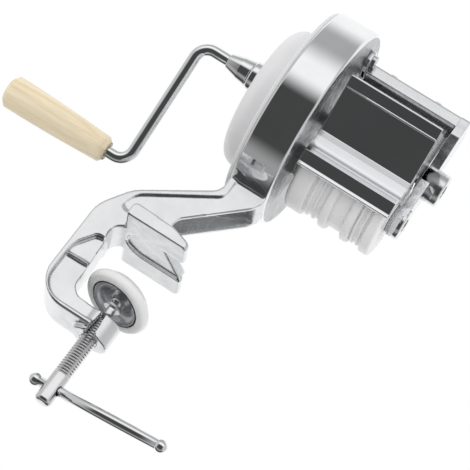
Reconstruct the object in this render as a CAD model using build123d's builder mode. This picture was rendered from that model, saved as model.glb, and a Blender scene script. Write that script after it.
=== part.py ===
import os
from math import acos, cos, hypot, pi, radians, sin, tan

from build123d import *

os.makedirs("parts", exist_ok=True)

# ---------------------------------------------------------------- frame and main axes
# Origin: centre of the jaw plane, on the clamp screw's axis. X runs along the crank shaft towards
# the roller, Z runs up along the clamp screw, -Y is the side where the dough goes in.
crank_z = 122.0
shaft_d = 8.0
gear_module = 1.25
pinion_teeth = 18
gear_teeth = 29
roller_drop = gear_module * (pinion_teeth + gear_teeth) / 2
roller_z = crank_z - roller_drop

# ---------------------------------------------------------------- clearances
running_gap = 0.05
part_gap = 0.3
thread_gap = 0.08
gear_backlash = 0.3

# ---------------------------------------------------------------- gear drum
drum_r = 60.0
drum_width = 23.0
drum_back_x = 10.0
drum_front_x = drum_back_x + drum_width
drum_drop = 6.5
drum_z = crank_z - drum_drop
drum_wall = 3.0
drum_edge_r = 2.2
bearing_boss_r = 9.0
cover_boss_r = 5.5
cover_screw_d = 3.5
cover_screw_count = 3
cover_screw_head_r = 3.3
cover_screw_sink = 1.5

# ---------------------------------------------------------------- back cover
cover_r = 58.4
cover_screw_edge = 5.9
cover_boss_circle_r = cover_r - cover_screw_edge
cover_flange = 2.5
cover_wall = 2.5
dome_r = 41.8
dome_depth = 19.0
dome_rise = 5.6
dome_flat_r = 12.0
dome_shoulder_r = 9.0
dome_boss_r = 9.5
dome_boss_length = 8.0

# ---------------------------------------------------------------- arm and clamp frame
arm_width = 25.0
rim_overhang = 1.1
channel_width = 17.0
web_thickness = 17.0
rib_overhang = 1.8
spine_back_x = -37.7
throat_x = -21.6
horn_bottom_z = -56.0
jaw_half_width = 28.4
jaw_slot_width = 22.0
jaw_thickness = 7.3
jaw_root_x = -18.5
jaw_tip_x = 18.0
jaw_recess = 1.5
jaw_corner_r = 3.0
boss_r = 10.6
boss_bottom_z = -59.0
boss_top_z = -45.4

# ---------------------------------------------------------------- bushings
bushing_r = 6.0
bushing_length = 8.0
roller_end_bushing_length = 5.6
bushing_flange_r = 8.0
bushing_flange = 1.2

# ---------------------------------------------------------------- crank
crank_angle = 21.5
crank_radius = 77.4
crank_arm_x = -48.6
crank_bend_r = 8.0
rod_d = 7.0
rod_start_x = -24.0
collar_r = 8.7
collar_length = 5.2
ferrule_r = 7.9
ferrule_outer_r = 6.8
ferrule_flats_length = 6.1
ferrule_cone_length = 8.4
ferrule_tip_r = 4.5
grip_inner_x = -61.0
grip_length = 65.0
grip_inner_r = 7.5
grip_outer_r = 9.5
grip_end_r = 2.4
grip_recess_r = 6.0
grip_recess_depth = 4.0
retainer_r = 5.4
retainer_thickness = 1.6

# ---------------------------------------------------------------- gears
gear_x = 14.0
gear_width = 9.5
gear_hub_r = 7.5
gear_hub_length = 1.2
gear_web_recess = 2.5

# ---------------------------------------------------------------- forming roller
roller_x0 = 37.5
roller_x1 = 90.6
roller_flange_r = 24.2
roller_track_r = 21.3
roller_bead_r = 22.6
roller_hub_r = 9.0
roller_track_x = (49.0, 84.3)
roller_bead_x = (51.0, 54.9, 79.2, 82.4)
roller_bead_width = 1.2
roller_ridge_x = (61.3, 75.0)
roller_ridge_width = 4.8

# ---------------------------------------------------------------- roller bracket
bracket_end_x = 92.6
bracket_end_thickness = 5.6
rail_front = 16.0
rail_back = 8.0
rail_bottom = 29.5
rail_top = 37.5
lug_thickness = 3.0
lug_bottom = 29.5
lug_top = 40.5
lug_half_span = 15.0
lug_centre = 9.0
crank_boss_r = 9.4
crank_boss_length = 13.4
roller_boss_r = 9.0
roller_boss_length = 6.6
bracket_screw_d = 4.0

# ---------------------------------------------------------------- feed hopper
hopper_x0 = 36.3
hopper_x1 = 92.2
hopper_wall = 2.4
cheek_thickness = 2.0
plate_top_out = 43.0
plate_top_up = 0.0
plate_bottom_out = 26.5
plate_bottom_up = -20.5
forming_arc_r = 25.9
forming_arc_bottom = -27.0
forming_arc_top = 18.0
cheek_arc_end = 66.0
hopper_screw_d = 4.0
hopper_screw_x = (50.0, 78.0)
hopper_screw_skin = 0.5

# ---------------------------------------------------------------- clamp screw, bar and pad
screw_d = 9.5
screw_pitch = 1.6
thread_top_z = -46.0
thread_bottom_z = -82.8
head_bottom_z = -100.6
neck_d = 5.0
ball_r = 3.6
ball_z = -32.5
bar_d = 5.5
bar_z = -90.8
bar_angle = -14.0
bar_head_reach = -10.4
bar_far_reach = 66.4
bar_ball_r = 3.5
pad_tilt = 14.7
pad_lean = 56.0
pad_r = 20.3
pad_height = 8.8
pad_face_r = 15.0
pad_drop = 2.6
cup_r = 14.6
cup_sheet = 1.2
cup_depth = 5.4
collar_ring_r = 4.9
collar_ring_drop = 5.2
collar_ring_height = 1.8


# ---------------------------------------------------------------- planes and shapes used again
def across(x, z=0.0):
    """Plane across the X axis: local x is +Y, local y is +Z."""
    return Plane(origin=(x, 0, z), x_dir=(0, 1, 0), z_dir=(1, 0, 0))


def front_plane(y):
    """Plane along X and Z: local x is +X, local y is +Z, extruding towards -Y."""
    return Plane(origin=(0, y, 0), x_dir=(1, 0, 0), z_dir=(0, -1, 0))


def level(z):
    """Horizontal plane at height z."""
    return Plane(origin=(0, 0, z), x_dir=(1, 0, 0), z_dir=(0, 0, 1))


def shaft_axis(z):
    """Axis along X at height z in the middle plane."""
    return Axis((0, 0, z), (1, 0, 0))


def rounded_outline(corners):
    """Closed outline in the open BuildLine: corners are (x, y, radius of the corner)."""
    tangents = []
    for index, (x, y, r) in enumerate(corners):
        before = corners[index - 1]
        after = corners[(index + 1) % len(corners)]
        back = (before[0] - x, before[1] - y)
        ahead = (after[0] - x, after[1] - y)
        back = (back[0] / hypot(*back), back[1] / hypot(*back))
        ahead = (ahead[0] / hypot(*ahead), ahead[1] / hypot(*ahead))
        half = acos(back[0] * ahead[0] + back[1] * ahead[1]) / 2
        middle = (back[0] + ahead[0], back[1] + ahead[1])
        reach = (r / sin(half) - r) / hypot(*middle)
        cut = r / tan(half)
        tangents.append(
            (
                (x + back[0] * cut, y + back[1] * cut),
                (x + middle[0] * reach, y + middle[1] * reach),
                (x + ahead[0] * cut, y + ahead[1] * cut),
                r,
            )
        )
    for index, (start, middle, end, r) in enumerate(tangents):
        last = tangents[index - 1][2]
        if hypot(start[0] - last[0], start[1] - last[1]) > 0.001:
            Line(last, start)
        if r > 0:
            ThreePointArc(start, middle, end)


def gear_outline(teeth, phase_deg):
    """Closed outline of a spur gear: points along involute flanks, one tooth at phase_deg."""
    pitch_r = gear_module * teeth / 2
    base_r = pitch_r * cos(radians(20))
    tip_r = pitch_r + gear_module - 0.1
    root_r = pitch_r - 1.25 * gear_module
    start_r = max(base_r, root_r)
    pitch_turn = tan(radians(20)) - radians(20)
    half_tooth = pi / (2 * teeth) - gear_backlash / (4 * pitch_r)
    flank = []
    for step in range(6):
        r = start_r + (tip_r - start_r) * step / 5
        roll = acos(base_r / r)
        flank.append((r, half_tooth + pitch_turn - (tan(roll) - roll)))
    points = []
    for tooth in range(teeth):
        middle = radians(phase_deg) + 2 * pi * tooth / teeth
        points.append((root_r, middle - flank[0][1] - 0.012))
        points += [(r, middle - turn) for r, turn in flank]
        points += [(r, middle + turn) for r, turn in reversed(flank)]
        points.append((root_r, middle + flank[0][1] + 0.012))
    return [(r * cos(turn), r * sin(turn)) for r, turn in points]


# Side outline of the arm, spine, lower horn and jaw web, seen from -Y, as (x, z, corner radius).
arm_outline = [
    (drum_back_x + 0.5, drum_z - drum_r + 9, 0),
    (drum_back_x + 0.5, 47, 9),
    (-27, 20.5, 22),
    (spine_back_x, 3, 22),
    (spine_back_x, horn_bottom_z, 18),
    (0, horn_bottom_z, 0),
    (0, boss_top_z, 0),
    (throat_x, boss_top_z + 0.8, 8),
    (throat_x, -26, 30),
    (-23.9, 0, 7),
    (4.2, 0, 0),
    (4.2, jaw_thickness, 0),
    (0, 19, 7),
    (29.3, 47.3, 4),
    (drum_front_x - 0.4, 53, 3),
    (drum_front_x - 0.4, drum_z - drum_r + 9, 0),
]

# Back flange of the arm and the whole clamp frame, a little wider than the arm's side walls.
rim_outline = [
    *arm_outline[:10],
    (-12, 0, 0),
    (-12, jaw_thickness, 0),
    (-27.5, jaw_thickness + 1.5, 3),
    (-23.5, 19.3, 12),
    (drum_back_x + 4.3, 44.8, 6),
    (drum_back_x + 4.3, drum_z - drum_r + 9, 0),
]

# Inside of the arm's channel, which opens forwards between the two side walls.
channel_outline = [
    (26, 50.5, 2),
    (13, 43.5, 12),
    (-20, 20.5, 8),
    (-22, jaw_thickness, 3),
    (12, jaw_thickness, 0),
    (12, 19, 0),
    (38, 45, 0),
    (38, 49.5, 0),
]

# Sunk side panel of the spine and the horn, open towards the throat, and the low rib across it.
panel_outline = [
    (-12, -11.5, 0),
    (-27.2, -11.5, 4),
    (-34.8, -23, 14),
    (-34.8, -53.3, 12),
    (-1, -53.3, 0),
    (-1, -40, 0),
    (-12, -40, 0),
]
rib_outline = [
    (-36, -28.9, 0),
    (-36, -27.7, 0),
    (throat_x - 0.4, -27.2, 0.5),
    (throat_x - 0.4, -28.4, 0.5),
]

with BuildPart() as main_casting:
    # drum shell, open at the back
    with BuildSketch(across(drum_back_x, drum_z)):
        Circle(drum_r)
    extrude(amount=drum_width)
    fillet(main_casting.edges().filter_by(GeomType.CIRCLE), radius=drum_edge_r)
    # arm, spine, horn and jaw web
    for outline, width in ((arm_outline, arm_width - 2 * rim_overhang), (rim_outline, arm_width)):
        with BuildSketch(front_plane(width / 2)):
            with BuildLine():
                rounded_outline(outline)
            make_face()
        extrude(amount=width)
    with BuildSketch(front_plane(channel_width / 2)):
        with BuildLine():
            rounded_outline(channel_outline)
        make_face()
    extrude(amount=channel_width, mode=Mode.SUBTRACT)
    for side in (1, -1):
        with BuildSketch(front_plane(side * web_thickness / 2)):
            with BuildLine():
                rounded_outline(panel_outline)
            make_face()
        extrude(amount=-side * arm_width, mode=Mode.SUBTRACT)
    with BuildSketch(front_plane(web_thickness / 2 + rib_overhang)):
        with BuildLine():
            rounded_outline(rib_outline)
        make_face()
    extrude(amount=web_thickness + 2 * rib_overhang)
    # drum cavity
    with BuildSketch(across(drum_back_x, drum_z)):
        Circle(drum_r - drum_wall)
    extrude(amount=drum_width - drum_wall, mode=Mode.SUBTRACT)
    # bearing bosses inside the front wall
    for z in (crank_z, roller_z):
        with BuildSketch(across(drum_front_x - bushing_length, z)):
            Circle(bearing_boss_r)
        extrude(amount=bushing_length - drum_wall / 2)
    # bosses for the cover screws
    with BuildSketch(across(drum_back_x, drum_z)):
        with PolarLocations(cover_boss_circle_r, cover_screw_count, start_angle=90):
            Circle(cover_boss_r)
    extrude(amount=drum_width - drum_wall / 2)
    # two jaw prongs with tapered tops
    for side in (1, -1):
        with BuildSketch(front_plane(side * jaw_slot_width / 2)):
            with BuildLine():
                rounded_outline(
                    [
                        (jaw_root_x, 0, 1.2),
                        (jaw_tip_x, 0, 0.8),
                        (jaw_tip_x, 3.6, 1.6),
                        (7, jaw_thickness, 12),
                        (jaw_root_x, jaw_thickness + 1.2, 3),
                    ]
                )
            make_face()
        extrude(amount=-side * (jaw_half_width - jaw_slot_width / 2))
    # rounded outer corners at the tips of the prongs
    for side in (1, -1):
        with BuildSketch(level(-1)):
            with Locations((jaw_tip_x, side * jaw_half_width)):
                Rectangle(2 * jaw_corner_r, 2 * jaw_corner_r)
            with Locations((jaw_tip_x - jaw_corner_r, side * (jaw_half_width - jaw_corner_r))):
                Circle(jaw_corner_r, mode=Mode.SUBTRACT)
        extrude(amount=jaw_thickness + 2, mode=Mode.SUBTRACT)
    # web between the prongs, with a slanted front edge
    with BuildSketch(level(jaw_recess)):
        with BuildLine():
            Polyline(
                (jaw_root_x - 2, -jaw_slot_width / 2 - 1),
                (4.2, -jaw_slot_width / 2 - 1),
                (17.0, jaw_slot_width / 2 + 1),
                (jaw_root_x - 2, jaw_slot_width / 2 + 1),
                close=True,
            )
        make_face()
    extrude(amount=jaw_thickness - jaw_recess)
    # the shallow recess between the prongs, rounded at its root
    with BuildSketch(level(0)):
        with Locations((0, 0)):
            SlotOverall(2 * 16.5, jaw_slot_width, rotation=0)
    extrude(amount=jaw_recess, mode=Mode.SUBTRACT)
    # clamp screw boss
    with BuildSketch(level(boss_bottom_z)):
        Circle(boss_r)
    extrude(amount=boss_top_z - boss_bottom_z)
    with BuildSketch(level(boss_bottom_z - 1)):
        Circle(screw_d / 2 + thread_gap)
    extrude(amount=boss_top_z - boss_bottom_z + 2, mode=Mode.SUBTRACT)
    # narrow flared slot in the boss's dough side, showing the thread
    with BuildSketch(front_plane(-screw_d / 4)):
        with BuildLine():
            Polyline(
                (-1.2, boss_top_z + 1),
                (1.2, boss_top_z + 1),
                (2.6, boss_bottom_z - 1),
                (-2.6, boss_bottom_z - 1),
                close=True,
            )
        make_face()
    extrude(amount=boss_r, mode=Mode.SUBTRACT)
    # bearing bores through the front wall
    for z in (crank_z, roller_z):
        with BuildSketch(across(drum_front_x + 1, z)):
            Circle(bushing_r)
        extrude(amount=-bushing_length - 2, mode=Mode.SUBTRACT)
    # screw holes in the bosses of the cover
    with BuildSketch(across(drum_back_x, drum_z)):
        with PolarLocations(cover_boss_circle_r, cover_screw_count, start_angle=90):
            Circle(cover_screw_d / 2)
    extrude(amount=11, mode=Mode.SUBTRACT)
    # screw holes for the roller bracket
    for out in (lug_centre - lug_half_span + 4, lug_centre + lug_half_span - 4):
        with BuildSketch(across(drum_front_x + 1, crank_z + (lug_bottom + lug_top) / 2)):
            with Locations((-out, 0)):
                Circle(bracket_screw_d / 2)
        extrude(amount=-drum_wall - 2, mode=Mode.SUBTRACT)
main_casting.part.label = "main_casting"
export_step(main_casting.part, "parts/main_casting.step")

# ---------------------------------------------------------------- back cover
# The dome is turned about the drum's axis; the crank shaft leaves it above the middle.
dome_x = drum_back_x - cover_flange - dome_depth
cover_outer_x = drum_back_x - cover_flange
with BuildPart() as back_cover:
    with BuildSketch(front_plane(0)):
        with BuildLine():
            rounded_outline(
                [
                    (drum_back_x, drum_z, 0),
                    (drum_back_x, drum_z + cover_r, 0.5),
                    (drum_back_x - cover_flange, drum_z + cover_r, 1.0),
                    (drum_back_x - cover_flange, drum_z + dome_r, 1.5),
                    (dome_x + dome_rise, drum_z + dome_r, dome_shoulder_r),
                    (dome_x, drum_z + dome_flat_r, 45),
                    (dome_x, drum_z, 0),
                ]
            )
        make_face()
    revolve(axis=shaft_axis(drum_z), revolution_arc=360)
    with BuildSketch(front_plane(0)):
        with BuildLine():
            rounded_outline(
                [
                    (drum_back_x + 1, drum_z, 0),
                    (drum_back_x + 1, drum_z + dome_r - cover_wall, 0),
                    (
                        dome_x + dome_rise + cover_wall,
                        drum_z + dome_r - cover_wall,
                        dome_shoulder_r - cover_wall,
                    ),
                    (dome_x + cover_wall, drum_z + dome_flat_r, 45),
                    (dome_x + cover_wall, drum_z, 0),
                ]
            )
        make_face()
    revolve(axis=shaft_axis(drum_z), revolution_arc=360, mode=Mode.SUBTRACT)
    with BuildSketch(across(dome_x + cover_wall / 2, crank_z)):
        Circle(dome_boss_r)
    extrude(amount=dome_boss_length - cover_wall / 2)
    with BuildSketch(across(dome_x - 1, crank_z)):
        Circle(bushing_r)
    extrude(amount=dome_boss_length + 2, mode=Mode.SUBTRACT)
    with BuildSketch(across(drum_back_x + 1, drum_z)):
        with PolarLocations(cover_boss_circle_r, cover_screw_count, start_angle=90):
            Circle(cover_screw_d / 2 + part_gap / 2)
    extrude(amount=-cover_flange - 2, mode=Mode.SUBTRACT)
    with BuildSketch(across(cover_outer_x, drum_z)):
        with PolarLocations(cover_boss_circle_r, cover_screw_count, start_angle=90):
            Circle(cover_screw_head_r + part_gap / 2)
    extrude(amount=cover_screw_sink, mode=Mode.SUBTRACT)
back_cover.part.label = "back_cover"
export_step(back_cover.part, "parts/back_cover.step")

with BuildPart() as cover_screws:
    with BuildSketch(across(cover_outer_x + cover_screw_sink, drum_z)):
        with PolarLocations(cover_boss_circle_r, cover_screw_count, start_angle=90):
            Circle(cover_screw_d / 2)
    extrude(amount=cover_flange - cover_screw_sink + 9)
    with BuildSketch(across(cover_outer_x + 0.1, drum_z)):
        with PolarLocations(cover_boss_circle_r, cover_screw_count, start_angle=90):
            Circle(cover_screw_head_r)
    extrude(amount=cover_screw_sink - 0.1)
    with BuildSketch(across(cover_outer_x + 0.1, drum_z)):
        with PolarLocations(cover_boss_circle_r, cover_screw_count, start_angle=90):
            Rectangle(0.9, cover_screw_d * 1.5)
            Rectangle(cover_screw_d * 1.5, 0.9)
    extrude(amount=0.8, mode=Mode.SUBTRACT)
cover_screws.part.label = "cover_screws"
export_step(cover_screws.part, "parts/cover_screws.step")

# ---------------------------------------------------------------- shaft bushings
bushing_bore_r = shaft_d / 2 + running_gap
with BuildPart() as rear_bushing:
    with BuildSketch(across(dome_x, crank_z)):
        Circle(bushing_r)
        Circle(bushing_bore_r, mode=Mode.SUBTRACT)
    extrude(amount=dome_boss_length)
rear_bushing.part.label = "rear_bushing"
export_step(rear_bushing.part, "parts/rear_bushing.step")

with BuildPart() as shaft_bushings:
    for z, end_length in ((crank_z, bushing_length), (roller_z, roller_end_bushing_length)):
        for face_x, inward, length in (
            (drum_front_x, -1, bushing_length),
            (bracket_end_x, 1, end_length),
        ):
            with BuildSketch(across(face_x, z)):
                Circle(bushing_r)
                Circle(bushing_bore_r, mode=Mode.SUBTRACT)
            extrude(amount=inward * length)
            with BuildSketch(across(face_x, z)):
                Circle(bushing_flange_r)
                Circle(bushing_bore_r, mode=Mode.SUBTRACT)
            extrude(amount=-inward * bushing_flange)
shaft_bushings.part.label = "shaft_bushings"
export_step(shaft_bushings.part, "parts/shaft_bushings.step")

# ---------------------------------------------------------------- crank
# The crank's plane holds the shaft's axis and the arm; the arm hangs tilted away from -Y.
arm_dir = (0, sin(radians(crank_angle)), -cos(radians(crank_angle)))
crank_plane = Plane(
    origin=(0, 0, crank_z),
    x_dir=(1, 0, 0),
    z_dir=(0, cos(radians(crank_angle)), sin(radians(crank_angle))),
)
grip_axis = Axis((0, crank_radius * arm_dir[1], crank_z + crank_radius * arm_dir[2]), (1, 0, 0))
grip_outer_x = grip_inner_x - grip_length
rod_end_x = grip_outer_x + grip_recess_depth - 0.5
collar_x = dome_x - part_gap
ferrule_x = collar_x - collar_length

with BuildPart() as crank_rod:
    with BuildLine(crank_plane) as rod_path:
        FilletPolyline(
            (rod_start_x, 0),
            (crank_arm_x, 0),
            (crank_arm_x, crank_radius),
            (rod_end_x, crank_radius),
            radius=crank_bend_r,
        )
    with BuildSketch(across(rod_start_x, crank_z)):
        Circle(rod_d / 2)
    sweep(path=rod_path.wires()[0])
crank_rod.part.label = "crank_rod"
export_step(crank_rod.part, "parts/crank_rod.step")

with BuildPart() as shaft_collar:
    with BuildSketch(across(collar_x, crank_z)):
        Circle(collar_r)
        Circle(shaft_d / 2, mode=Mode.SUBTRACT)
    extrude(amount=-collar_length)
    outer = shaft_collar.edges().filter_by(GeomType.CIRCLE).sort_by(SortBy.RADIUS)[-2:]
    fillet(outer, radius=1.4)
shaft_collar.part.label = "shaft_collar"
export_step(shaft_collar.part, "parts/shaft_collar.step")

with BuildPart() as crank_ferrule:
    with BuildSketch(across(ferrule_x, crank_z)):
        Circle(ferrule_r)
    with BuildSketch(across(ferrule_x - ferrule_flats_length, crank_z)):
        Circle(ferrule_outer_r)
    loft()
    with BuildSketch(across(ferrule_x - ferrule_flats_length, crank_z)):
        Circle(ferrule_outer_r)
    with BuildSketch(across(ferrule_x - ferrule_flats_length - ferrule_cone_length, crank_z)):
        Circle(ferrule_tip_r)
    loft()
    # knurl: shallow grooves around the straight part
    with BuildSketch(across(ferrule_x + 0.5, crank_z)):
        with PolarLocations(ferrule_r + 0.35, 24):
            Circle(0.65)
    extrude(amount=-ferrule_flats_length - 0.5, mode=Mode.SUBTRACT)
    with BuildSketch(across(ferrule_x + 1, crank_z)):
        Circle(shaft_d / 2)
    extrude(amount=rod_start_x - ferrule_x - 1, mode=Mode.SUBTRACT)
    with BuildSketch(across(rod_start_x, crank_z)):
        Circle(rod_d / 2)
    extrude(amount=-20, mode=Mode.SUBTRACT)
crank_ferrule.part.label = "crank_ferrule"
export_step(crank_ferrule.part, "parts/crank_ferrule.step")

bracket_face_x = bracket_end_x + bracket_end_thickness
crank_boss_x = bracket_end_x + crank_boss_length
with BuildPart() as main_shaft:
    with BuildSketch(across(rod_start_x, crank_z)):
        Circle(shaft_d / 2)
    extrude(amount=crank_boss_x - 0.5 - rod_start_x)
    chamfer(main_shaft.edges().filter_by(GeomType.CIRCLE).sort_by(Axis.X)[-1], length=0.6)
main_shaft.part.label = "main_shaft"
export_step(main_shaft.part, "parts/main_shaft.step")

with BuildPart() as handle_grip:
    with BuildSketch(crank_plane):
        with BuildLine():
            inner_low = (grip_inner_x, crank_radius)
            inner_high = (grip_inner_x, crank_radius + grip_inner_r)
            outer_high = (grip_outer_x, crank_radius + grip_outer_r)
            middle = ((grip_inner_x + grip_outer_x) / 2, crank_radius + grip_inner_r + 1.35)
            Line(inner_low, inner_high)
            ThreePointArc(inner_high, middle, outer_high)
            Line(outer_high, (grip_outer_x, crank_radius))
            Line((grip_outer_x, crank_radius), inner_low)
        make_face()
    revolve(axis=grip_axis, revolution_arc=360)
    rims = handle_grip.edges().filter_by(GeomType.CIRCLE).sort_by(Axis.X)
    fillet([rims[0], rims[-1]], radius=grip_end_r)
    grip_plane = Plane(origin=grip_axis.position, x_dir=(0, 1, 0), z_dir=(1, 0, 0))
    with BuildSketch(grip_plane.offset(grip_inner_x + 1)):
        Circle(rod_d / 2 + running_gap)
    extrude(amount=-grip_length - 2, mode=Mode.SUBTRACT)
    with BuildSketch(grip_plane.offset(grip_outer_x - 1)):
        Circle(grip_recess_r)
    extrude(amount=grip_recess_depth + 1, mode=Mode.SUBTRACT)
handle_grip.part.label = "handle_grip"
export_step(handle_grip.part, "parts/handle_grip.step")

retainer_x = grip_outer_x + grip_recess_depth - part_gap
with BuildPart() as grip_retainer:
    with BuildSketch(grip_plane.offset(retainer_x)):
        Circle(retainer_r)
    extrude(amount=-retainer_thickness)
    with BuildSketch(grip_plane.offset(retainer_x + 1)):
        Circle(rod_d / 2)
    extrude(amount=rod_end_x - retainer_x - 1, mode=Mode.SUBTRACT)
grip_retainer.part.label = "grip_retainer"
export_step(grip_retainer.part, "parts/grip_retainer.step")

# ---------------------------------------------------------------- gears and roller
with BuildPart() as drive_pinion:
    with BuildSketch(across(gear_x, crank_z)):
        with BuildLine():
            Polyline(*gear_outline(pinion_teeth, -90), close=True)
        make_face()
        Circle(shaft_d / 2, mode=Mode.SUBTRACT)
    extrude(amount=gear_width)
drive_pinion.part.label = "drive_pinion"
export_step(drive_pinion.part, "parts/drive_pinion.step")

with BuildPart() as driven_gear:
    with BuildSketch(across(gear_x, roller_z)):
        with BuildLine():
            Polyline(*gear_outline(gear_teeth, 90 + 180 / gear_teeth), close=True)
        make_face()
    extrude(amount=gear_width)
    with BuildSketch(across(gear_x + gear_width, roller_z)):
        Circle(gear_hub_r)
    extrude(amount=gear_hub_length)
    # sunk web on both faces
    for face_x, inward in ((gear_x, 1), (gear_x + gear_width, -1)):
        with BuildSketch(across(face_x, roller_z)):
            Circle(gear_module * gear_teeth / 2 - 4)
            Circle(gear_hub_r, mode=Mode.SUBTRACT)
        extrude(amount=inward * gear_web_recess, mode=Mode.SUBTRACT)
    with BuildSketch(across(gear_x - 1, roller_z)):
        Circle(shaft_d / 2)
    extrude(amount=gear_width + gear_hub_length + 2, mode=Mode.SUBTRACT)
driven_gear.part.label = "driven_gear"
export_step(driven_gear.part, "parts/driven_gear.step")

with BuildPart() as roller_shaft:
    with BuildSketch(across(gear_x - 2, roller_z)):
        Circle(shaft_d / 2)
    extrude(amount=bracket_end_x + roller_boss_length - 0.6 - gear_x + 2)
roller_shaft.part.label = "roller_shaft"
export_step(roller_shaft.part, "parts/roller_shaft.step")

# Roller outline from its left end: a wide flange, a track with two small beads, two ridges with a
# plain groove between them, the second track and the right flange.
roller_profile = [
    (roller_x0, roller_flange_r, 3.0),
    (roller_track_x[0] - 0.7, roller_flange_r, 0.8),
    (roller_track_x[0], roller_track_r, 0.5),
]
for middle_x, half_width, crest_r, rounding in sorted(
    [(x, roller_bead_width / 2, roller_bead_r, 0.4) for x in roller_bead_x]
    + [(x, roller_ridge_width / 2, roller_flange_r, 1.7) for x in roller_ridge_x]
):
    roller_profile += [
        (middle_x - half_width - 0.35, roller_track_r, 0.25),
        (middle_x - half_width, crest_r, rounding),
        (middle_x + half_width, crest_r, rounding),
        (middle_x + half_width + 0.35, roller_track_r, 0.25),
    ]
roller_profile += [
    (roller_track_x[1], roller_track_r, 0.3),
    (roller_track_x[1] + 0.6, roller_flange_r, 0.8),
    (roller_x1, roller_flange_r, 1.5),
]
hub_x0 = drum_front_x + bushing_flange + part_gap
hub_x1 = bracket_end_x - bushing_flange - part_gap
with BuildPart() as forming_roller:
    with BuildSketch(front_plane(0)):
        with BuildLine():
            rounded_outline(
                [
                    (hub_x0, roller_z + shaft_d / 2, 0),
                    (hub_x0, roller_z + roller_hub_r, 0),
                    (roller_x0, roller_z + roller_hub_r, 0),
                    *[(x, roller_z + r, rounding) for x, r, rounding in roller_profile],
                    (roller_x1, roller_z + roller_hub_r, 0),
                    (hub_x1, roller_z + roller_hub_r, 0),
                    (hub_x1, roller_z + shaft_d / 2, 0),
                ]
            )
        make_face()
    revolve(axis=shaft_axis(roller_z), revolution_arc=360)
forming_roller.part.label = "forming_roller"
export_step(forming_roller.part, "parts/forming_roller.step")

# ---------------------------------------------------------------- roller bracket
# Outlines across X are given as (distance out towards -Y, height above the crank axis).
def outline_across(corners):
    """Corners (out, up, radius) drawn in a plane across X at crank_z."""
    rounded_outline([(-out, up, r) for out, up, r in corners])


screw_up = (lug_bottom + lug_top) / 2
lug_screw_out = (lug_centre - lug_half_span + 4, lug_centre + lug_half_span - 4)
rail_outline = [
    (rail_back, rail_bottom, 0),
    (rail_back, rail_top, 1),
    (rail_front, rail_top, 2),
    (rail_front, rail_bottom, 0),
]
end_outline = [
    (rail_front, rail_top, 2),
    (-4, rail_top, 5),
    (-crank_boss_r, 10, 12),
    (-roller_boss_r, -roller_drop, 0),
    (roller_boss_r, -roller_drop, 0),
    (crank_boss_r - 1, -7, 3),
    (crank_boss_r - 1, 5, 6),
    (rail_front, 25, 5),
]
with BuildPart() as roller_bracket:
    # top rail
    with BuildSketch(across(drum_front_x, crank_z)):
        with BuildLine():
            outline_across(rail_outline)
        make_face()
    extrude(amount=bracket_face_x - drum_front_x)
    # lug plate on the drum's face
    with BuildSketch(across(drum_front_x, crank_z + screw_up)):
        with Locations((-lug_centre, 0)):
            RectangleRounded(2 * lug_half_span, lug_top - lug_bottom, 4)
        with Locations(*[(-out, 0) for out in lug_screw_out]):
            Circle(bracket_screw_d / 2 + part_gap / 2, mode=Mode.SUBTRACT)
    extrude(amount=lug_thickness)
    # end plate with both bosses
    with BuildSketch(across(bracket_end_x, crank_z)):
        with BuildLine():
            outline_across(end_outline)
        make_face()
        with Locations((0, 0)):
            Circle(crank_boss_r)
        with Locations((0, -roller_drop)):
            Circle(roller_boss_r)
    extrude(amount=bracket_end_thickness)
    with BuildSketch(across(bracket_end_x, crank_z)):
        Circle(crank_boss_r)
    extrude(amount=crank_boss_length)
    with BuildSketch(across(bracket_end_x, roller_z)):
        Circle(roller_boss_r)
    extrude(amount=roller_boss_length)
    for z, length in ((crank_z, bushing_length), (roller_z, roller_end_bushing_length)):
        with BuildSketch(across(bracket_end_x - 1, z)):
            Circle(bushing_r)
        extrude(amount=length + 1, mode=Mode.SUBTRACT)
        with BuildSketch(across(bracket_end_x, z)):
            Circle(shaft_d / 2 + part_gap)
        extrude(amount=crank_boss_length + 1, mode=Mode.SUBTRACT)
    # countersunk holes for the hopper screws
    for x in hopper_screw_x:
        with BuildSketch(level(crank_z + rail_bottom - 1)):
            with Locations((x, -(rail_front + rail_back) / 2)):
                Circle(hopper_screw_d / 2 + part_gap / 2)
        extrude(amount=rail_top - rail_bottom + 2, mode=Mode.SUBTRACT)
        with BuildSketch(level(crank_z + rail_top - 2.4)):
            with Locations((x, -(rail_front + rail_back) / 2)):
                Circle(hopper_screw_d * 0.85)
        extrude(amount=3, mode=Mode.SUBTRACT)
roller_bracket.part.label = "roller_bracket"
export_step(roller_bracket.part, "parts/roller_bracket.step")

with BuildPart() as bracket_screws:
    for out in lug_screw_out:
        with BuildSketch(across(drum_front_x - drum_wall - 2, crank_z + screw_up)):
            with Locations((-out, 0)):
                Circle(bracket_screw_d / 2)
        extrude(amount=drum_wall + 2 + lug_thickness)
        with BuildSketch(across(drum_front_x + lug_thickness, crank_z + screw_up)):
            with Locations((-out, 0)):
                Circle(bracket_screw_d * 0.9)
        extrude(amount=2.2)
        with BuildSketch(across(drum_front_x + lug_thickness + 2.2, crank_z + screw_up)):
            with Locations((-out, 0)):
                Rectangle(1.0, bracket_screw_d * 1.8)
        extrude(amount=-1.0, mode=Mode.SUBTRACT)
bracket_screws.part.label = "bracket_screws"
export_step(bracket_screws.part, "parts/bracket_screws.step")

# ---------------------------------------------------------------- feed hopper
# The chute plate slopes down and in to the roller's side; below it the wall curves around the
# roller, then ends in a thin lip.
plate_run = plate_top_out - plate_bottom_out
plate_rise = plate_top_up - plate_bottom_up
plate_length = hypot(plate_run, plate_rise)
inward_out = -hopper_wall * plate_rise / plate_length
inward_up = hopper_wall * plate_run / plate_length


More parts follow.
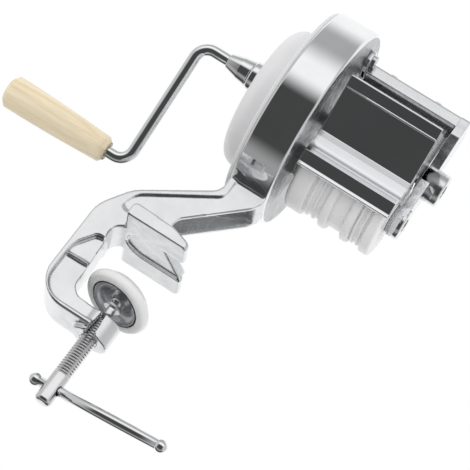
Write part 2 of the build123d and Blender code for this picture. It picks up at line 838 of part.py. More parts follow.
def on_forming_arc(turn_deg, r=forming_arc_r):
    """Point (out, up) on the inner arc around the roller, turn measured up from level."""
    turn = radians(turn_deg)
    return (r * cos(turn), -roller_drop + r * sin(turn))


def arc_corner(turn_1, turn_2):
    """Corner whose rounding is the forming arc between two turns."""
    corner_r = forming_arc_r / cos(radians(turn_1 - turn_2) / 2)
    return (*on_forming_arc((turn_1 + turn_2) / 2, corner_r), forming_arc_r)


wall_outline = [
    (plate_top_out + 5.0, plate_top_up + 4.8, 0.7),
    (plate_top_out, plate_top_up, 0.8),
    (plate_bottom_out, plate_bottom_up, 1.0),
    (plate_bottom_out + 0.4, plate_bottom_up - 4.0, 0.8),
    (plate_bottom_out - 0.9, plate_bottom_up - 10.5, 7),
    (plate_bottom_out + 3.0, plate_bottom_up - 16.3, 0.4),
    (plate_bottom_out - 1.1, plate_bottom_up - 21.7, 0.4),
    (plate_bottom_out - 1.1, plate_bottom_up - 23.6, 0.4),
    (plate_bottom_out - 2.9, plate_bottom_up - 23.6, 0.4),
    (*on_forming_arc(forming_arc_bottom), 0),
    arc_corner(forming_arc_bottom, forming_arc_top),
    (*on_forming_arc(forming_arc_top), 0),
    (plate_bottom_out + inward_out, plate_bottom_up + inward_up + 0.4, 0),
    (plate_top_out + inward_out, plate_top_up + inward_up, 4),
    (plate_top_out + 3.6, plate_top_up + 6.3, 0.7),
]
back_wall_bottom = -5.0
flange_thickness = 2.0
flange_up = rail_bottom - flange_thickness
back_wall_outline = [
    (rail_back, back_wall_bottom, 0.6),
    (rail_back, rail_bottom, 0),
    (rail_front, rail_bottom, 0),
    (rail_front, flange_up, 0.5),
    (rail_back + hopper_wall, flange_up, 2),
    (rail_back + hopper_wall, back_wall_bottom, 0.6),
]
cheek_outline = [
    (plate_top_out + 3.0, plate_top_up + 4.6, 0.5),
    (plate_top_out + inward_out + 0.8, plate_top_up + inward_up - 1.0, 0),
    (plate_bottom_out + inward_out + 0.8, plate_bottom_up + inward_up, 0),
    (*on_forming_arc(forming_arc_top), 0),
    arc_corner(forming_arc_top, cheek_arc_end),
    (*on_forming_arc(cheek_arc_end), 0),
    (rail_back, back_wall_bottom, 0),
    (rail_back, rail_bottom, 0),
    (rail_back + 3, rail_bottom, 0),
    (rail_back + 8, 19, 14),
]
with BuildPart() as feed_hopper:
    with BuildSketch(across(hopper_x0, crank_z)):
        with BuildLine():
            outline_across(wall_outline)
        make_face()
    extrude(amount=hopper_x1 - hopper_x0)
    # back wall with the flange under the rail
    with BuildSketch(across(hopper_x0, crank_z)):
        with BuildLine():
            outline_across(back_wall_outline)
        make_face()
    extrude(amount=hopper_x1 - hopper_x0)
    # end cheeks joining the two walls
    for cheek_x in (hopper_x0, hopper_x1 - cheek_thickness):
        with BuildSketch(across(cheek_x, crank_z)):
            with BuildLine():
                outline_across(cheek_outline)
            make_face()
        extrude(amount=cheek_thickness)
    for x in hopper_screw_x:
        with BuildSketch(level(crank_z + flange_up + hopper_screw_skin)):
            with Locations((x, -(rail_front + rail_back) / 2)):
                Circle(hopper_screw_d / 2)
        extrude(amount=flange_thickness, mode=Mode.SUBTRACT)
feed_hopper.part.label = "feed_hopper"
export_step(feed_hopper.part, "parts/feed_hopper.step")

with BuildPart() as hopper_screws:
    for x in hopper_screw_x:
        with BuildSketch(level(crank_z + flange_up + hopper_screw_skin)):
            with Locations((x, -(rail_front + rail_back) / 2)):
                Circle(hopper_screw_d / 2)
        extrude(amount=rail_top - flange_up - hopper_screw_skin - 1)
        with BuildSketch(level(crank_z + rail_top - 2.4)):
            with Locations((x, -(rail_front + rail_back) / 2)):
                Circle(hopper_screw_d * 0.8)
        extrude(amount=2.2)
        with BuildSketch(level(crank_z + rail_top - 0.2)):
            with Locations((x, -(rail_front + rail_back) / 2)):
                Rectangle(hopper_screw_d * 1.7, 0.9)
        extrude(amount=-0.9, mode=Mode.SUBTRACT)
hopper_screws.part.label = "hopper_screws"
export_step(hopper_screws.part, "parts/hopper_screws.step")

# ---------------------------------------------------------------- clamp screw and bar
bar_dir = (cos(radians(bar_angle)), sin(radians(bar_angle)), 0)


def bar_plane(reach):
    """Plane across the bar at a distance from the screw's axis."""
    return Plane(
        origin=(reach * bar_dir[0], reach * bar_dir[1], bar_z),
        x_dir=(0, 0, 1),
        z_dir=bar_dir,
    )


with BuildPart() as clamp_screw:
    with BuildSketch(level(head_bottom_z)):
        Circle(screw_d / 2)
    extrude(amount=thread_top_z - head_bottom_z)
    fillet(clamp_screw.edges().filter_by(GeomType.CIRCLE).sort_by(Axis.Z)[0], radius=2.2)
    chamfer(clamp_screw.edges().filter_by(GeomType.CIRCLE).sort_by(Axis.Z)[-1], length=1.0)
    with BuildSketch(level(thread_top_z)):
        Circle(neck_d / 2)
    extrude(amount=ball_z - thread_top_z)
    with Locations((0, 0, ball_z)):
        Sphere(ball_r)
    # thread grooves along the threaded length
    groove_count = int((thread_top_z - thread_bottom_z - 2) / screw_pitch)
    for turn in range(groove_count):
        with BuildSketch(level(thread_bottom_z + 1 + turn * screw_pitch)):
            Circle(screw_d / 2 + 0.5)
            Circle(screw_d / 2 - 0.55, mode=Mode.SUBTRACT)
        extrude(amount=screw_pitch * 0.42, mode=Mode.SUBTRACT)
    with BuildSketch(bar_plane(-screw_d)):
        Circle(bar_d / 2 + running_gap)
    extrude(amount=2 * screw_d, mode=Mode.SUBTRACT)
clamp_screw.part.label = "clamp_screw"
export_step(clamp_screw.part, "parts/clamp_screw.step")

with BuildPart() as tommy_bar:
    with BuildSketch(bar_plane(bar_head_reach)):
        Circle(bar_d / 2)
    extrude(amount=bar_far_reach - bar_head_reach)
tommy_bar.part.label = "tommy_bar"
export_step(tommy_bar.part, "parts/tommy_bar.step")

with BuildPart() as bar_balls:
    for reach in (bar_head_reach, bar_far_reach):
        with Locations((reach * bar_dir[0], reach * bar_dir[1], bar_z)):
            Sphere(bar_ball_r)
    with BuildSketch(bar_plane(bar_head_reach)):
        Circle(bar_d / 2)
    extrude(amount=bar_far_reach - bar_head_reach, mode=Mode.SUBTRACT)
bar_balls.part.label = "bar_balls"
export_step(bar_balls.part, "parts/bar_balls.step")

# ---------------------------------------------------------------- clamp pad
# The pad is turned about its own axis through the ball, tilted from the screw's axis towards the
# level direction pad_lean, measured from +X to +Y.
lean_dir = (cos(radians(pad_lean)), sin(radians(pad_lean)), 0)
pad_dir = (
    sin(radians(pad_tilt)) * lean_dir[0],
    sin(radians(pad_tilt)) * lean_dir[1],
    cos(radians(pad_tilt)),
)
pad_axis = Axis((0, 0, ball_z), pad_dir)
pad_plane = Plane(
    origin=(0, 0, ball_z),
    x_dir=(
        cos(radians(pad_tilt)) * lean_dir[0],
        cos(radians(pad_tilt)) * lean_dir[1],
        -sin(radians(pad_tilt)),
    ),
    z_dir=(lean_dir[1], -lean_dir[0], 0),
)
socket_r = ball_r + running_gap
socket_outer_r = socket_r + cup_sheet

# Outer surface of the cup and its socket, shared with the ring moulded on it.
cup_top = cup_depth - pad_drop
cup_back = [
    (cup_r, -pad_drop, 0),
    (cup_r - 0.7, 0.7, 6),
    (11.2, cup_top - 0.1, 2.5),
    (7.3, cup_top + 0.9, 3),
    (socket_outer_r * cos(radians(42)), cup_top + 1.3, 0.5),
    (socket_outer_r * cos(radians(70)), socket_outer_r * sin(radians(70)), 1.2),
    (0, socket_outer_r, 0),
]
with BuildPart() as pad_cup:
    with BuildSketch(pad_plane):
        with BuildLine():
            rounded_outline(
                [
                    *cup_back,
                    (0, 1, 0),
                    (socket_r - 0.2, 0, 0),
                    (socket_outer_r, 0, 0.5),
                    (7.0, cup_top - 0.3, 2),
                    (10.5, cup_top - 1.4, 3),
                    (cup_r - cup_sheet - 0.7, 0.2, 5),
                    (cup_r - cup_sheet, -pad_drop, 0.3),
                ]
            )
        make_face()
    revolve(axis=pad_axis, revolution_arc=360)
    with Locations((0, 0, ball_z)):
        Sphere(socket_r, mode=Mode.SUBTRACT)
pad_cup.part.label = "pad_cup"
export_step(pad_cup.part, "parts/pad_cup.step")

with BuildPart() as pad_ring:
    with BuildSketch(pad_plane):
        with BuildLine():
            rounded_outline(
                [
                    *cup_back,
                    (0, pad_height - pad_drop, 0),
                    (pad_face_r, pad_height - pad_drop, 2.5),
                    (pad_r, 1.0, 3),
                    (pad_r - 1.8, -pad_drop, 2.0),
                ]
            )
        make_face()
    revolve(axis=pad_axis, revolution_arc=360)
pad_ring.part.label = "pad_ring"
export_step(pad_ring.part, "parts/pad_ring.step")

with BuildPart() as swivel_collar:
    with BuildSketch(level(ball_z - collar_ring_drop)):
        Circle(collar_ring_r)
        Circle(neck_d / 2 + running_gap, mode=Mode.SUBTRACT)
    extrude(amount=collar_ring_height)
    fillet(swivel_collar.edges().filter_by(GeomType.CIRCLE).sort_by(SortBy.RADIUS)[-2:], radius=0.4)
swivel_collar.part.label = "swivel_collar"
export_step(swivel_collar.part, "parts/swivel_collar.step")
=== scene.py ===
import bpy
import bmesh
from math import acos, cos, hypot, pi, radians, sin, sqrt, tan
from mathutils import Matrix, Vector


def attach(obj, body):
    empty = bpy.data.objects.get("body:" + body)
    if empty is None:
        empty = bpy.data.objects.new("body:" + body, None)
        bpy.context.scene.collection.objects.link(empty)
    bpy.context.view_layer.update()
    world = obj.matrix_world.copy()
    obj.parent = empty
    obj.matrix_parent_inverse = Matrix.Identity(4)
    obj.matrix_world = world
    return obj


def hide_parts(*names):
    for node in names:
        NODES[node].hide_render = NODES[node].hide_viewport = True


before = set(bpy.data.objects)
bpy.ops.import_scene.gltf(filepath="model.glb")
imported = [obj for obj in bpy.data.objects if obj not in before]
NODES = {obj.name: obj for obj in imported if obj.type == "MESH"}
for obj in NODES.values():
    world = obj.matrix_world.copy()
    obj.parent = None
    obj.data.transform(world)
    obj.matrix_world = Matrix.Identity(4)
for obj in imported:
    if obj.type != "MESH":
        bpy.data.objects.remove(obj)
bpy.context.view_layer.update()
MM = 0.001
X_AXIS = Vector((1, 0, 0))
Y_AXIS = Vector((0, 1, 0))
Z_AXIS = Vector((0, 0, 1))

# ------------------------------------------------------------------ shared sizes, in millimetres
CRANK_Z = 122.0
ROLLER_Z = 92.625
DRUM_R = 59.99
DRUM_Z = 115.5
DRUM_X0 = 10.0
DRUM_X1 = 33.0


# ------------------------------------------------------------------ materials
def material(name, colour, roughness, metallic=0.0):
    mat = bpy.data.materials.new(name)
    mat.use_nodes = True
    shader = mat.node_tree.nodes["Principled BSDF"]
    shader.inputs["Base Color"].default_value = (*colour, 1)
    shader.inputs["Roughness"].default_value = roughness
    shader.inputs["Metallic"].default_value = metallic
    return mat


def node(owner, kind, inputs=None, **settings):
    """A new node in the tree of a material or of the world."""
    made = owner.node_tree.nodes.new(kind)
    for key, value in settings.items():
        setattr(made, key, value)
    for key, value in (inputs or {}).items():
        made.inputs[key].default_value = value
    return made


def link(owner, start, end):
    owner.node_tree.links.new(start, end)


def socket(mat, name):
    return mat.node_tree.nodes["Principled BSDF"].inputs[name]


def place(mat, scale=(1, 1, 1)):
    """The rest position on the surface, stretched by scale."""
    coords = node(mat, "ShaderNodeTexCoord")
    mapping = node(mat, "ShaderNodeMapping", {"Scale": scale})
    link(mat, coords.outputs["Object"], mapping.inputs["Vector"])
    return mapping.outputs["Vector"]


def noise_of(mat, where, scale, detail=3.0, roughness=0.5, distortion=0.0):
    made = node(
        mat,
        "ShaderNodeTexNoise",
        {"Scale": scale, "Detail": detail, "Roughness": roughness, "Distortion": distortion},
    )
    link(mat, where, made.inputs["Vector"])
    return made.outputs["Fac"]


def ramp(mat, value, low, high, start=0.3, end=0.7):
    """A grey or coloured ramp between low and high over value."""
    made = node(mat, "ShaderNodeValToRGB")
    for stop, position, tone in zip(made.color_ramp.elements, (start, end), (low, high)):
        stop.position = position
        stop.color = (*(tone if isinstance(tone, tuple) else (tone,) * 3), 1)
    link(mat, value, made.inputs["Fac"])
    return made.outputs["Color"]


def bump(mat, height, strength, distance, below=None):
    made = node(mat, "ShaderNodeBump", {"Strength": strength, "Distance": distance})
    link(mat, height, made.inputs["Height"])
    if below is not None:
        link(mat, below, made.inputs["Normal"])
    return made.outputs["Normal"]


def plated(name, colour, rough_low, rough_high, wave, wave_scale, grain=0.0):
    """Bright plated metal: waves of the casting under the plating and a fine grain."""
    mat = material(name, colour, rough_high, 1.0)
    where = place(mat)
    patches = noise_of(mat, where, 160, 4)
    link(mat, ramp(mat, patches, rough_low, rough_high), socket(mat, "Roughness"))
    normal = bump(mat, noise_of(mat, where, wave_scale, 2), wave, 0.001)
    if grain:
        normal = bump(mat, noise_of(mat, where, 900, 3), grain, 0.0004, normal)
    link(mat, normal, socket(mat, "Normal"))
    tint = tuple(c * 0.93 for c in colour)
    link(mat, ramp(mat, noise_of(mat, where, 60, 3), tint, colour), socket(mat, "Base Color"))
    return mat


def moulded(name, colour, roughness, grain, speck=0.03):
    """Plastic with faint specks, uneven gloss and a fine grain."""
    mat = material(name, colour, roughness)
    where = place(mat)
    darker = tuple(c * (1 - speck) for c in colour)
    link(mat, ramp(mat, noise_of(mat, where, 90, 4), darker, colour), socket(mat, "Base Color"))
    gloss = ramp(mat, noise_of(mat, where, 240, 3), roughness * 0.85, roughness * 1.15)
    link(mat, gloss, socket(mat, "Roughness"))
    link(mat, bump(mat, noise_of(mat, where, 1100, 2), grain, 0.0003), socket(mat, "Normal"))
    return mat


def pale_wood():
    """Pale turned wood with bands and fine fibres along the grip."""
    mat = material("pale_grip_wood", (0.86, 0.76, 0.58), 0.42)
    along = place(mat, (9, 150, 150))
    fibres = place(mat, (40, 1400, 1400))
    bands = noise_of(mat, along, 1.0, 5, 0.62, 1.2)
    colour = ramp(mat, bands, (0.80, 0.66, 0.43), (0.90, 0.80, 0.60), 0.32, 0.66)
    mix = node(mat, "ShaderNodeMix", data_type="RGBA", blend_type="MULTIPLY")
    mix.inputs["Factor"].default_value = 0.35
    # the colour sockets of a Mix node are inputs 6 and 7 and output 2
    link(mat, colour, mix.inputs[6])
    lines = noise_of(mat, fibres, 1.0, 3, 0.6)
    link(mat, ramp(mat, lines, 0.72, 1.0, 0.35, 0.6), mix.inputs[7])
    link(mat, mix.outputs[2], socket(mat, "Base Color"))
    link(mat, ramp(mat, bands, 0.34, 0.50), socket(mat, "Roughness"))
    link(mat, bump(mat, lines, 0.18, 0.0003), socket(mat, "Normal"))
    return mat


polished = plated("polished_plating", (0.86, 0.87, 0.88), 0.03, 0.07, 0.03, 40)
cast_bright = plated("bright_cast_plating", (0.78, 0.79, 0.80), 0.12, 0.24, 0.16, 90, 0.08)
cast_rough = plated("rough_cast_plating", (0.86, 0.87, 0.88), 0.28, 0.44, 0.4, 260, 0.4)
cast_wavy = plated("wavy_cast_plating", (0.74, 0.75, 0.77), 0.10, 0.22, 0.6, 75, 0.08)
# the front disc's plating is rough and pitted as cast; its darker colour is partly the grey of
# rough casting and partly painted shade, where the front unit shades the disc
cast_pitted_and_shaded = plated("pitted_cast_plating_and_painted_shade", (0.50, 0.51, 0.52), 0.24, 0.42, 0.6, 420, 0.4)
rod_plating = plated("rod_plating", (0.86, 0.87, 0.88), 0.04, 0.10, 0.03, 50)
hopper_plating = plated("hopper_plating", (0.82, 0.83, 0.85), 0.07, 0.13, 0.05, 60, 0.03)
# painted shade: a darker copy of the plating for the hopper's back wall and cheeks, whose dark
# colour stands in for the shade inside the hopper; its roughness and bumps are real
hopper_inside_painted_shade = plated("rough_inner_plating_painted_shade", (0.42, 0.43, 0.44), 0.22, 0.40, 0.6, 240, 0.5)
screw_plating = plated("screw_plating", (0.80, 0.80, 0.81), 0.10, 0.20, 0.06, 120, 0.05)
cup_plating = plated("cup_plating", (0.74, 0.75, 0.77), 0.26, 0.38, 0.05, 120, 0.06)
shaft_steel = plated("ground_steel", (0.66, 0.66, 0.68), 0.18, 0.30, 0.03, 120, 0.05)
zinc = plated("zinc_plated_screws", (0.74, 0.74, 0.75), 0.22, 0.34, 0.05, 200, 0.1)
cover_plastic = moulded("grey_cover_plastic", (0.72, 0.72, 0.73), 0.38, 0.10, 0.02)
roller_nylon = moulded("white_roller_nylon", (0.80, 0.80, 0.80), 0.30, 0.05, 0.015)
gear_nylon = moulded("gear_nylon", (0.80, 0.79, 0.75), 0.42, 0.1)
bushing_nylon = moulded("grey_bushing_nylon", (0.52, 0.52, 0.51), 0.42, 0.12)
ring_plastic = moulded("white_ring_plastic", (0.80, 0.80, 0.80), 0.36, 0.08, 0.03)
grip_wood = pale_wood()


# ------------------------------------------------------------------ profiles
def rounded(corners, steps=6):
    """Points of a closed outline whose corners are (x, y, radius)."""
    points = []
    for index, (x, y, r) in enumerate(corners):
        if r <= 0:
            points.append((x, y))
            continue
        before = corners[index - 1]
        after = corners[(index + 1) % len(corners)]
        back = Vector((before[0] - x, before[1] - y)).normalized()
        ahead = Vector((after[0] - x, after[1] - y)).normalized()
        half = acos(max(-1, min(1, back.dot(ahead)))) / 2
        cut = r / tan(half)
        centre = Vector((x, y)) + (back + ahead).normalized() * (r / sin(half))
        start = Vector((x, y)) + back * cut - centre
        end = Vector((x, y)) + ahead * cut - centre
        sweep = start.angle_signed(end)
        count = max(2, int(steps * max(1, abs(sweep) / (pi / 2))))
        for step in range(count + 1):
            turned = start.copy()
            turned.rotate(Matrix.Rotation(-sweep * step / count, 2))
            points.append(tuple(centre + turned))
    return points


def rod(start, end, radius):
    """Profile of a round rod with flat ends."""
    return [(start, 0.0), (start, radius), (end, radius), (end, 0.0)]


def arc(centre, radius, turns_deg, lift=0.0):
    """Profile of an arc round centre, lift away from the axis."""
    turns = [radians(turn) for turn in turns_deg]
    return [(centre - radius * cos(turn), lift + radius * sin(turn)) for turn in turns]


# ------------------------------------------------------------------ pieces
def finished(name, bm, body, mats, nodes):
    """Turns a bmesh (in millimetres) into a piece that rides on a body."""
    mesh = bpy.data.meshes.new(name)
    bmesh.ops.scale(bm, vec=(MM, MM, MM), verts=bm.verts)
    bm.to_mesh(mesh)
    bm.free()
    for mat in mats if isinstance(mats, list) else [mats]:
        mesh.materials.append(mat)
    mesh.polygons.foreach_set("use_smooth", [True] * len(mesh.polygons))
    made = bpy.data.objects.new(name, mesh)
    bpy.context.scene.collection.objects.link(made)
    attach(made, body)
    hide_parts(*nodes)
    return made


def axes_of(along):
    """The unit vector along, and two unit vectors square to it."""
    along = along.normalized()
    side = along.cross(Z_AXIS if abs(along.z) < 0.9 else X_AXIS).normalized()
    return along, side, along.cross(side)


def lathe_into(
    bm, profile, origin, along, segments=96, closed=False, radius_of=None, material_of=None
):
    """Adds the turned shape of a profile [(distance along, radius)] to bm."""
    along, side, up = axes_of(along)
    rings = []
    for a, r in profile:
        if r < 1e-6:
            rings.append([bm.verts.new(origin + along * a)])
            continue
        ring = []
        for step in range(segments):
            turn = 2 * pi * step / segments
            rr = radius_of(a, r, turn) if radius_of else r
            ring.append(bm.verts.new(origin + along * a + (side * cos(turn) + up * sin(turn)) * rr))
        rings.append(ring)
    following_rings = rings[1:] + rings[:1] if closed else rings[1:]
    for index, (one, two) in enumerate(zip(rings, following_rings)):
        for step in range(segments):
            following = (step + 1) % segments
            corners = [
                one[step % len(one)],
                one[following % len(one)],
                two[following % len(two)],
                two[step % len(two)],
            ]
            corners = list(dict.fromkeys(corners))
            if len(corners) > 2:
                face = bm.faces.new(corners)
                if material_of:
                    face.material_index = material_of(index)


def lathe(name, profile, origin, along, body, slot, mats, nodes, **options):
    """A turned piece; options are those of lathe_into."""
    bm = bmesh.new()
    lathe_into(bm, profile, Vector(origin), Vector(along), **options)
    bmesh.ops.recalc_face_normals(bm, faces=bm.faces)
    return finished(name, bm, body, mats, nodes)


def prism_into(bm, outline, origin, right, up, depth):
    """Adds a straight prism: outline in the plane of right and up, extruded along right x up."""
    through = right.cross(up) * depth
    low = [bm.verts.new(origin + right * x + up * y) for x, y in outline]
    high = [bm.verts.new(vert.co + through) for vert in low]
    bm.faces.new(low)
    bm.faces.new(high)
    for index in range(len(low)):
        following = (index + 1) % len(low)
        bm.faces.new((low[index], low[following], high[following], high[index]))


def soften(piece, width, segments):
    """Rounds the edges of a piece by width, in millimetres."""
    bevel = piece.modifiers.new("edges", "BEVEL")
    bevel.width = width * MM
    bevel.segments = segments
    bevel.limit_method = "ANGLE"
    bevel.angle_limit = radians(35)
    bevel.harden_normals = False
    weights = piece.modifiers.new("normals", "WEIGHTED_NORMAL")
    weights.keep_sharp = True
    weights.weight = 80


def plates(name, prisms, mat, nodes, edge, edge_segments=3):
    """A piece of the frame made of prisms (corners, x0, x1, steps of a corner) along X.

    A corner is (out towards -Y, up from the crank axis, corner radius).
    """
    bm = bmesh.new()
    for corners, x0, x1, steps in prisms:
        outline = [(-out, up) for out, up in rounded(corners, steps)]
        prism_into(bm, outline, Vector((x0, 0, CRANK_Z)), Y_AXIS, Z_AXIS, x1 - x0)
    bmesh.ops.recalc_face_normals(bm, faces=bm.faces)
    soften(finished(name, bm, "frame", mat, nodes), edge, edge_segments)


def cut_away(piece, cutter_bm):
    """Cuts the closed shape cutter_bm (in millimetres) out of a piece for good."""
    bmesh.ops.recalc_face_normals(cutter_bm, faces=cutter_bm.faces)
    bmesh.ops.scale(cutter_bm, vec=(MM, MM, MM), verts=cutter_bm.verts)
    cutter_mesh = bpy.data.meshes.new("cutter")
    cutter_bm.to_mesh(cutter_mesh)
    cutter_bm.free()
    cutter = bpy.data.objects.new("cutter", cutter_mesh)
    bpy.context.scene.collection.objects.link(cutter)
    cut = piece.modifiers.new("cut", "BOOLEAN")
    cut.operation = "DIFFERENCE"
    cut.solver = "EXACT"
    cut.object = cutter
    solid = piece.evaluated_get(bpy.context.evaluated_depsgraph_get())
    result = bpy.data.meshes.new_from_object(solid)
    piece.modifiers.clear()
    piece.data = result
    bpy.data.objects.remove(cutter)


# ------------------------------------------------------------------ gear drum
DRUM_INNER_R = 56.8
DRUM_BORE_R = 6.1
DRUM_WALL = 3.0
FRONT_DISC_R = 57.9  # inside this radius the front is left as cast, in a darker plating whose colour is partly painted shade
drum_points = rounded(
    [
        (DRUM_X0, DRUM_INNER_R, 0),
        (DRUM_X0, DRUM_R, 1.6),
        (DRUM_X1, DRUM_R, 2.0),
        (DRUM_X1, DRUM_BORE_R, 0),
        (DRUM_X1 - DRUM_WALL, DRUM_BORE_R, 0),
        (DRUM_X1 - DRUM_WALL, DRUM_INNER_R, 1.0),
    ],
    8,
)


def drum_material(index):
    """1, the pitted casting darkened partly with painted shade, on the front disc, and 0, polished,
    elsewhere.
    """
    x0, r0 = drum_points[index]
    x1, r1 = drum_points[(index + 1) % len(drum_points)]
    return 1 if (r0 + r1) / 2 < FRONT_DISC_R and (x0 + x1) / 2 > DRUM_X1 - 0.6 else 0


lathe(
    "drum_shell",
    drum_points,
    (0, 0, DRUM_Z),
    X_AXIS,
    "frame",
    "plated_casting",
    [polished, cast_pitted_and_shaded],
    ["main_casting"],
    segments=256,
    closed=True,
    material_of=drum_material,
)

# ------------------------------------------------------------------ arm and clamp frame
ARM_VOXEL = 0.6
ARM_HALF_WIDTH = 15
DIVE_START = 0.3  # the arm's skin starts to dive this far outside the drum's band
DIVE_DEPTH = 0.5  # and goes this far under it
HIDDEN_DEPTH = 0.35  # what lies deeper than this under the band is taken away


def cast_arm():
    """The casting's arm, clamp frame and jaw with the soft edges of a casting."""
    mesh = NODES["main_casting"].data.copy()
    mesh.transform(Matrix.Scale(1 / MM, 4))
    work = bpy.data.objects.new("arm_work", mesh)
    bpy.context.scene.collection.objects.link(work)
    weld = work.modifiers.new("weld", "WELD")
    weld.merge_threshold = 0.01
    grid = work.modifiers.new("grid", "REMESH")
    grid.mode = "VOXEL"
    grid.voxel_size = ARM_VOXEL
    relax = work.modifiers.new("relax", "SMOOTH")
    relax.factor = 0.5
    relax.iterations = 5
    evaluated = work.evaluated_get(bpy.context.evaluated_depsgraph_get())
    bm = bmesh.new()
    bm.from_mesh(evaluated.to_mesh())
    evaluated.to_mesh_clear()
    bpy.data.objects.remove(work)
    gone = []
    for vert in bm.verts:
        x, y, z = vert.co
        r = hypot(y, z - DRUM_Z)
        if x > DRUM_X0 - 1.0 and r < DRUM_R + DIVE_START:
            dive = min(1.0, (DRUM_R + DIVE_START - r) / DIVE_START)
            shrink = (r - DIVE_DEPTH * dive) / r
            vert.co.y = y * shrink
            vert.co.z = DRUM_Z + (z - DRUM_Z) * shrink
            if r < DRUM_R - HIDDEN_DEPTH or abs(y) > ARM_HALF_WIDTH:
                gone.append(vert)
    bmesh.ops.delete(bm, geom=gone, context="VERTS")
    # rough plating in the arm's channel and on the jaw's slanted faces
    for face in bm.faces:
        x, y, z = face.calc_center_median()
        in_channel = abs(y) < 8.9 and z > 7.0 and x > -24
        slanted = 4 < x < 18.5 and abs(y) < 11.5 and 1.0 < z < 7.4 and face.normal.x > 0.3
        face.material_index = 1 if in_channel or slanted else 0
    finished(
        "arm_and_clamp_frame",
        bm,
        "frame",
        [cast_bright, cast_rough],
        ["main_casting"],
    )


cast_arm()

# ------------------------------------------------------------------ back cover
COVER_R = 58.4
COVER_X = 7.5
DOME_X = -11.5
DOME_R = 41.8
DOME_FLAT_R = 12.0
SEAT_CIRCLE_R = 52.5
SEAT_TURNS_DEG = (90, 210, 330)
SEAT_R = 3.45
SEAT_DEPTH = 1.5
cover_outline = rounded(
    [
        (DRUM_X0, DOME_FLAT_R, 0),
        (DRUM_X0, COVER_R, 0.5),
        (COVER_X, COVER_R, 1.0),
        (COVER_X, DOME_R, 1.5),
        (DOME_X + 5.6, DOME_R, 9.0),
        (DOME_X, DOME_FLAT_R, 45.0),
        (DOME_X, 0, 0),
        (DRUM_X0, 0, 0),
    ],
    10,
)
cover = lathe(
    "cover_dome",
    cover_outline[:-1],
    (0, 0, DRUM_Z),
    X_AXIS,
    "frame",
    "grey_plastic",
    cover_plastic,
    ["back_cover"],
    segments=192,
)
screw_seats = bmesh.new()
for seat_turn in map(radians, SEAT_TURNS_DEG):
    seat = Vector((0, SEAT_CIRCLE_R * cos(seat_turn), DRUM_Z + SEAT_CIRCLE_R * sin(seat_turn)))
    lathe_into(screw_seats, rod(COVER_X - 1, COVER_X + SEAT_DEPTH, SEAT_R), seat, X_AXIS, 48)
cut_away(cover, screw_seats)

# ------------------------------------------------------------------ crank
CRANK_TURN = radians(21.5)
CRANK_REACH = 77.4
CRANK_BEND_X = -48.6
CRANK_BEND_R = 8
ROD_R = 3.5
ARM_DIR = Vector((0, sin(CRANK_TURN), -cos(CRANK_TURN)))
SHAFT_LINE = Vector((0, 0, CRANK_Z))
GRIP_LINE = SHAFT_LINE + ARM_DIR * CRANK_REACH
FERRULE_X = -17.0
FERRULE_DROP = 0.085  # the ferrule's first part narrows by this every half millimetre
GRIP_X0 = -61.0
GRIP_LENGTH = 65.0
GRIP_EDGE_R = 2.4
GRIP_STEPS = 28


def crank_path():
    """The rod's middle line, from inside the ferrule to inside the grip."""
    corners = [
        (-24, 0, 0),
        (CRANK_BEND_X, 0, CRANK_BEND_R),
        (CRANK_BEND_X, CRANK_REACH, CRANK_BEND_R),
        (-122.5, CRANK_REACH, 0),
    ]
    return [X_AXIS * x + SHAFT_LINE + ARM_DIR * y for x, y in rounded(corners, 12)]


def tube(name, path, radius, segments, body, mat, nodes):
    """A closed tube along a path in the crank's plane."""
    bm = bmesh.new()
    fixed = X_AXIS.cross(ARM_DIR)
    rings = []
    for index, point in enumerate(path):
        ahead = path[min(index + 1, len(path) - 1)] - path[max(index - 1, 0)]
        side = ahead.normalized().cross(fixed)
        ring = []
        for step in range(segments):
            turn = 2 * pi * step / segments
            ring.append(bm.verts.new(point + (fixed * cos(turn) + side * sin(turn)) * radius))
        rings.append(ring)
    for one, two in zip(rings, rings[1:]):
        for step in range(segments):
            following = (step + 1) % segments
            bm.faces.new((one[step], one[following], two[following], two[step]))
    bm.faces.new(rings[0])
    bm.faces.new(rings[-1])
    bmesh.ops.recalc_face_normals(bm, faces=bm.faces)
    return finished(name, bm, body, mat, nodes)


def grip_profile():
    """A taper with a slight swell, rounded ends, the rod's bore and the outer recess."""
    points = [(GRIP_X0, 3.6), (GRIP_X0, 5.4)]
    for step in range(GRIP_STEPS + 1):
        t = step / GRIP_STEPS
        r = 7.5 + 2.0 * t + 0.85 * 4 * t * (1 - t) * (0.5 + 0.3 * t)
        edge = min(t * GRIP_LENGTH, (1 - t) * GRIP_LENGTH)
        if edge < GRIP_EDGE_R:
            r -= GRIP_EDGE_R - sqrt(max(0.0, GRIP_EDGE_R**2 - (GRIP_EDGE_R - edge) ** 2))
        points.append((GRIP_X0 - GRIP_LENGTH * t, r))
    grip_x1 = GRIP_X0 - GRIP_LENGTH
    points += [(grip_x1, 6.3), (grip_x1 + 0.4, 6.0), (grip_x1 + 4.0, 6.0), (grip_x1 + 4.0, 3.6)]
    return points


